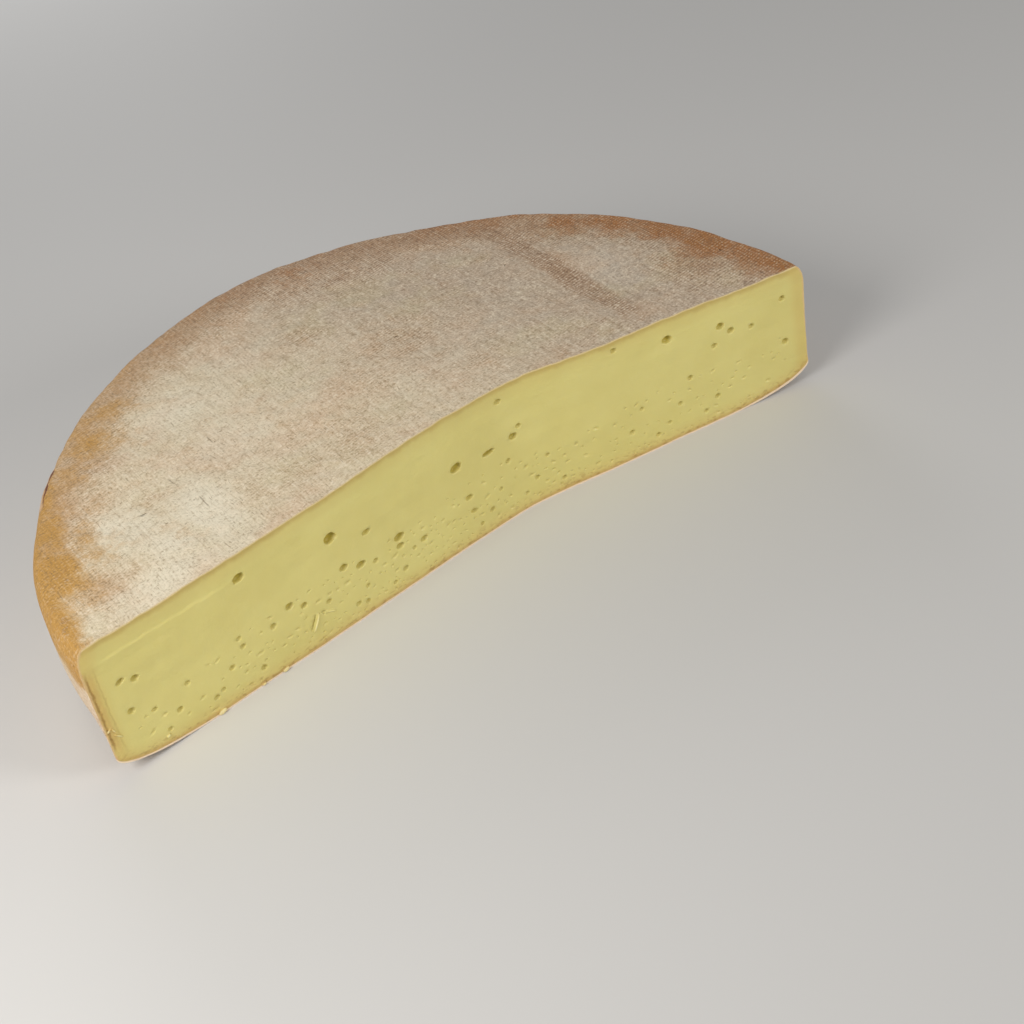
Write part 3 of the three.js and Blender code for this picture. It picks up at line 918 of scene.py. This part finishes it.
def rind_material():
    """Washed rind with the print of its cloth, pale bloom, brown stains and dark fibres."""
    n = Nodes("rind")
    place = n.place()
    moved = n.plus(place, n.stretch(n.noise(place, WANDER, 2, colour=True), (MOVED, MOVED, MOVED)))
    grain = n.noise(place, GRAIN, 2, 0.6)
    clump = n.noise(place, CLUMP, 2, 0.6)
    mottle = n.noise(place, MOTTLE, 3, 0.6)
    patch = n.noise(place, PATCH, 3, 0.55)
    drift = n.noise(n.plus(place, DRIFT_PLACE), DRIFT, 3, 0.55)
    cloth = cloth_print(n, moved)
    # Where the rind is pale, pink, brown or golden
    slow = n.math("ADD", n.around(patch, 0.8), n.around(mottle, 0.7))
    ragged = n.math("ADD", slow, n.around(clump, 0.35))
    stain = n.math("ADD", n.field("stain"), ragged)
    stain = n.math("SUBTRACT", stain, n.math("MULTIPLY", n.field("bloom"), 0.4))
    pink = n.step(stain, -0.3, 0.6)
    brown = n.step(stain, 0.25, 1.1)
    bloom = n.step(n.math("SUBTRACT", n.field("bloom"), n.math("MULTIPLY", ragged, 0.5)), 0.0, 0.95)
    # Pale to dull towards the back right: partly the rind's own colour, partly painted shade of the light's
    # falloff
    colour = n.mix(n.field("dull_and_shaded"), srgb(*PALE_RIND), srgb(*DULL_RIND))
    colour = n.mix(n.step(drift, 0.5, 0.68, 0.0, 0.55), colour, srgb(*WARM_DRIFT))
    colour = n.mix(n.step(drift, 0.5, 0.32, 0.0, 0.4), colour, srgb(*COOL_DRIFT))
    chalky = n.mix(n.field("dull_and_shaded"), srgb(*PALE_BLOOM), srgb(*DULL_BLOOM))
    colour = n.mix(n.math("MULTIPLY", bloom, 0.8), colour, chalky)
    colour = n.mix(n.math("MULTIPLY", pink, 0.5), colour, srgb(*PINK_STAIN))
    tanned = n.mix(n.field("dull_and_shaded"), srgb(*PALE_BROWN), srgb(*DULL_BROWN))
    colour = n.mix(n.math("MULTIPLY", brown, 0.8), colour, tanned)
    colour = n.mix(n.math("MULTIPLY", n.field("wall"), 0.6), colour, srgb(*WALL_COLOUR))
    ochre = n.math("ADD", n.field("ochre"), ragged)
    golden = n.mix(n.field("dull_and_shaded"), srgb(*PALE_GOLD), srgb(*DULL_GOLD))
    colour = n.mix(n.step(ochre, 0.1, 0.9, 0.0, 0.95), colour, golden)
    deep = n.math("ADD", n.field("ochre"), n.around(clump, 2.0))
    colour = n.mix(n.step(deep, 0.9, 1.5, 0.0, 0.55), colour, srgb(*DEEP_GOLD))
    band = n.math("ADD", n.field("band"), n.math("MULTIPLY", ragged, 0.8))
    colour = n.mix(n.step(band, 0.1, 1.1, 0.0, 0.75), colour, srgb(*BAND_BROWN))
    # Grain, in rows where the cloth printed through the stains
    shown = n.math("MAXIMUM", n.step(stain, -0.1, 0.5), n.step(band, 0.3, 0.9))
    printed = n.math("MULTIPLY", shown, n.step(n.field("dull_and_shaded"), 0.1, 0.7, 0.08, 0.16))
    rows = n.math("MULTIPLY", n.around(cloth, 1.0), n.math("ADD", printed, 0.03))
    level = n.math("ADD", n.math("MULTIPLY", grain, 0.65), n.math("MULTIPLY", clump, 0.35))
    level = n.math("ADD", level, rows)
    share = n.math("ADD", n.math("MULTIPLY", shown, 0.2), n.step(n.field("wall"), 0.0, 1.0, 0.5, 0.3))
    dots = n.math("MULTIPLY", n.step(level, 0.5, 0.3), share)
    dotted = n.mix(n.field("dull_and_shaded"), srgb(*PALE_DOTS), srgb(*DULL_DOTS))
    colour = n.mix(dots, colour, dotted)
    bare = n.math("MULTIPLY", n.step(ochre, 0.9, 0.2, 0.3, 0.7), n.step(brown, 0.0, 0.6, 1.0, 0.55))
    bare = n.math("MAXIMUM", bare, n.math("MULTIPLY", n.field("dull_and_shaded"), 0.4))
    light = n.math("MULTIPLY", n.step(level, 0.48, 0.68), bare)
    colour = n.mix(light, colour, srgb(*LIGHT_GRAIN))
    speck = n.noise(n.plus(place, SPECK_PLACE), SPECK, 2, 0.5)
    colour = n.mix(n.step(speck, 0.66, 0.76, 0.0, 0.5), colour, srgb(*SPECKS))
    thread = n.noise(n.stretch(moved, (1.6, 0.04, 1.0)), 1.0, 2, 0.6)
    colour = n.mix(n.step(thread, 0.5, 0.7, 0.0, 0.22), colour, srgb(*DARK_THREADS))
    light_thread = n.math("MULTIPLY", n.step(thread, 0.46, 0.3, 0.0, 0.3), bare)
    colour = n.mix(light_thread, colour, srgb(*LIGHT_THREADS))
    at_left = n.step(n.field("dull_and_shaded"), 0.75, 0.2, 0.25, 1.0)
    fibre = n.noise(n.stretch(moved, (2.0, 0.22, 1.0)), 1.0, 2, 0.5)
    fibres = n.math("MULTIPLY", n.step(fibre, 0.62, 0.74, 0.0, 0.5), at_left)
    colour = n.mix(fibres, colour, srgb(*FIBRES))
    cross = n.noise(n.stretch(moved, (0.35, 2.2, 1.0)), 1.0, 2, 0.5)
    colour = n.mix(n.step(cross, 0.66, 0.77, 0.0, 0.35), colour, srgb(*CROSS_FIBRES))
    x, y, _ = n.split(moved)
    for px, py, half in TOP_SCRATCHES:
        aside = n.math("ABSOLUTE", n.math("SUBTRACT", x, px + AXIS[0] + MOVED / 2))
        aside = n.step(aside, 0.42, 0.1)
        within = n.math("ABSOLUTE", n.math("SUBTRACT", y, py + AXIS[1] + MOVED / 2))
        within = n.step(within, half, half - 1.8, 0.0, 0.5)
        colour = n.mix(n.math("MULTIPLY", aside, within), colour, srgb(*SCRATCH))
    colour = n.mix(n.step(n.field("sunk"), 0.9, 0.2, 0.0, 0.3), colour, srgb(*CUT_EDGE))
    colour = n.mix(n.math("MULTIPLY", n.field("lip"), 0.6), colour, srgb(*CRACK_RIM))
    colour = n.mix(n.step(n.field("crack"), 0.25, 0.8, 0.0, 0.9), colour, srgb(*CRACK_INSIDE))
    colour = n.mix(n.step(n.field("nick"), 0.1, 0.9, 0.0, 0.8), colour, srgb(*NICK_INSIDE))
    n.put(n.shader.inputs["Base Color"], colour)
    n.put(n.shader.inputs["Roughness"], n.step(brown, 0.0, 1.0, *RIND_ROUGHNESS))
    n.shader.inputs["Specular IOR Level"].default_value = RIND_GLOSS
    n.put(n.shader.inputs["Normal"], n.bump(level, *RIND_BUMP))
    return n.material


def paste_material():
    """Cut paste, browner just under the rind, and with painted shade darker inside the eyes and dents."""
    n = Nodes("paste")
    place = n.place()
    slow = n.noise(place, 30, 3, 0.5)
    fine = n.noise(place, 1.1, 3, 0.6)
    rough = n.noise(n.stretch(place, (0.55, 0.55, 1.0)), 1.3, 3, 0.55)
    drag = n.noise(n.stretch(place, (0.06, 0.06, 0.8)), 1.0, 3, 0.6)
    wander = n.around(n.noise(place, 5, 3, 0.6), 2.4)
    top = n.math("ADD", n.field("under_top"), wander)
    base = n.math("ADD", n.field("over_base"), wander)
    rim = n.math("ADD", n.field("inside_rim"), n.math("MULTIPLY", wander, 0.5))
    colour = n.mix(n.step(slow, 0.35, 0.65), srgb(*LIGHT_PASTE), srgb(*DEEP_PASTE))
    colour = n.mix(n.step(top, 2.0, 9.0, 0.5, 0.0), colour, srgb(*UNDER_TOP))
    colour = n.mix(n.step(top, 0.6, 3.4, 0.75, 0.0), colour, srgb(*TOP_LINE))
    colour = n.mix(n.step(base, 1.5, 8.0, 0.55, 0.0), colour, srgb(*OVER_BASE))
    colour = n.mix(n.step(base, 0.8, 3.0, 0.7, 0.0), colour, srgb(*BASE_LINE))
    crumbs = n.math("MULTIPLY", n.step(rough, 0.5, 0.36), n.step(base, 6.0, 1.0))
    colour = n.mix(n.math("MULTIPLY", crumbs, 0.55), colour, srgb(*TORN_BASE))
    colour = n.mix(n.step(rim, 2.5, 8.0, 0.5, 0.0), colour, srgb(*INSIDE_RIM))
    at_left = n.step(n.split(place)[0], -138, -150)
    along = n.math("MULTIPLY", at_left, n.step(n.field("over_base"), 3, 10))
    along = n.math("MULTIPLY", along, n.step(n.field("under_top"), 7, 15))
    torn_rim = n.math("ADD", rim, n.around(n.noise(place, 2.0, 3, 0.6), 1.6))
    broken = n.step(n.noise(place, 3.0, 2, 0.5), 0.2, 0.5)
    tan = n.math("MULTIPLY", n.step(torn_rim, 2.4, 4.4, 0.55, 0.0), along)
    colour = n.mix(tan, colour, srgb(*RIM_TAN))
    line = n.step(n.math("ABSOLUTE", n.math("SUBTRACT", torn_rim, 1.2)), 0.8, 0.1)
    line = n.math("MULTIPLY", n.math("MULTIPLY", line, along), broken)
    colour = n.mix(n.math("MULTIPLY", line, 0.65), colour, srgb(*RIM_LINE))
    second = n.step(n.math("ABSOLUTE", n.math("SUBTRACT", torn_rim, 4.4)), 0.6, 0.1)
    second = n.math("MULTIPLY", n.math("MULTIPLY", second, along), broken)
    colour = n.mix(n.math("MULTIPLY", second, 0.3), colour, srgb(*SECOND_LINE))
    colour = n.mix(n.step(rim, 0.2, 1.0, 0.6, 0.0), colour, srgb(*RIM_SKIN))
    skin = n.math("ADD", n.field("over_base"), n.math("MULTIPLY", wander, 0.1))
    colour = n.mix(n.step(skin, 0.5, 0.9, 0.9, 0.0), colour, srgb(*BASE_SKIN))
    lip = n.math("ADD", n.field("under_top"), n.math("MULTIPLY", wander, 0.12))
    colour = n.mix(n.step(lip, 0.25, 0.8, 0.7, 0.0), colour, srgb(*TOP_SKIN))
    # Painted shade: the eyes and dents darken with depth, as if shadowed inside
    colour = n.mix(n.step(n.field("sunk"), 0.08, 0.35, 0.0, 0.3), colour, srgb(*HOLLOW_RIM_SHADE))
    colour = n.mix(n.step(n.field("sunk"), 0.3, 1.7, 0.0, 0.85), colour, srgb(*HOLLOW_SHADE))
    colour = n.mix(n.step(n.field("sunk"), -0.2, -0.6, 0.0, 0.65), colour, srgb(*CRUMB))
    n.put(n.shader.inputs["Base Color"], colour)
    n.put(n.shader.inputs["Roughness"], n.step(fine, 0.3, 0.7, *PASTE_ROUGHNESS))
    n.shader.inputs["Specular IOR Level"].default_value = PASTE_GLOSS
    n.shader.inputs["Subsurface Weight"].default_value = PASTE_GLOW
    n.shader.inputs["Subsurface Radius"].default_value = PASTE_GLOW_TINT
    n.shader.inputs["Subsurface Scale"].default_value = PASTE_GLOW_REACH
    torn = n.math("MULTIPLY", rough, n.step(n.field("over_base"), 22.0, 3.0, 0.0, 1.6))
    height = n.math("ADD", n.math("MULTIPLY", drag, 0.6), n.math("MULTIPLY", fine, 0.25))
    n.put(n.shader.inputs["Normal"], n.bump(n.math("ADD", height, torn), *PASTE_BUMP))
    return n.material


def floor_material():
    """A plain pale floor."""
    n = Nodes("floor")
    n.shader.inputs["Base Color"].default_value = srgb(*FLOOR)
    n.shader.inputs["Roughness"].default_value = FLOOR_ROUGHNESS
    return n.material


RIND = rind_material()
PASTE = paste_material()

cheese = wheel()
cheese.name = "raclette_half_wheel"
cut_by(cheese, behind_cut(), "INTERSECT")
cut_by(cheese, hollows(), "DIFFERENCE")
cut_by(cheese, rounded(SCRATCHES, SCRATCH_SEED), "DIFFERENCE")
cut_by(cheese, nicks(), "DIFFERENCE")
cut_by(cheese, rounded(BURRS, BURR_SEED), "UNION")
paint(cheese.data)
lay_out(cheese.data)
cheese.data.transform(Matrix.Scale(MM, 4) @ Matrix.Translation((AXIS[0], AXIS[1], 0)))
cheese.data.polygons.foreach_set("use_smooth", np.ones(len(cheese.data.polygons), bool))
sharp_rind_edge(cheese.data)
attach(cheese, "root")
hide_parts("half_wheel")

# Floor, light and camera
FLOOR_SIZE, SKY = 12, 0.28  # metres, strength
bpy.ops.mesh.primitive_plane_add(size=FLOOR_SIZE, location=(0, 0, 0))
floor = bpy.context.object
floor.name = "floor"
floor.data.materials.append(floor_material())


def area_light(name, place, aim, size, power, colour):
    """A soft round light that the camera doesn't see. Metres and watts."""
    data = bpy.data.lights.new(name, "AREA")
    data.shape = "DISK"
    data.size = size
    data.energy = power
    data.color = colour
    lamp = bpy.data.objects.new(name, data)
    lamp.visible_camera = False
    bpy.context.scene.collection.objects.link(lamp)
    lamp.location = place
    lamp.rotation_euler = (Vector(aim) - Vector(place)).to_track_quat("-Z", "Y").to_euler()


# Name, place, aim, size, power and colour of each light
LIGHTS = (
    ("key", (-0.48, -0.22, 0.42), (-0.05, -0.02, 0.04), 0.35, 2.7, (1.0, 0.97, 0.93)),
    ("front", (0.80, -1.15, 0.52), (0, -0.05, 0.03), 0.5, 8.8, (1.0, 0.98, 0.95)),
    ("back", (0.3, 1.4, 0.45), (0, 0.05, 0.03), 0.8, 5, (1, 1, 1)),
)
for row in LIGHTS:
    area_light(*row)
world = bpy.data.worlds.new("studio")
bpy.context.scene.world = world
world.use_nodes = True
sky = world.node_tree.nodes["Background"].inputs
sky["Color"].default_value = (1, 1, 1, 1)
sky["Strength"].default_value = SKY
bpy.context.scene.view_settings.view_transform = "Standard"

CAMERA_PLACE = (-232.6, -453.45, 396.56)  # from the wheel's axis, in millimetres
CAMERA_RIGHT = (0.80288, -0.57314, -0.16400)
CAMERA_UP = (0.45918, 0.41911, 0.78326)
CAMERA_AHEAD = (0.38018, 0.70417, -0.59967)
SENSOR_WIDTH = 36.0
FOCAL_PIXELS, IMAGE_PIXELS = 1707.4, 1024
lens = bpy.data.cameras.new("camera")
lens.sensor_width = SENSOR_WIDTH
lens.lens = SENSOR_WIDTH * FOCAL_PIXELS / IMAGE_PIXELS
lens.clip_start = 0.01
camera = bpy.data.objects.new("camera", lens)
bpy.context.scene.collection.objects.link(camera)
turned = Matrix((CAMERA_RIGHT, CAMERA_UP, [-v for v in CAMERA_AHEAD])).transposed().to_4x4()
place = [(CAMERA_PLACE[0] + AXIS[0]) * MM, (CAMERA_PLACE[1] + AXIS[1]) * MM, CAMERA_PLACE[2] * MM]
camera.matrix_world = Matrix.Translation(place) @ turned
bpy.context.scene.camera = camera
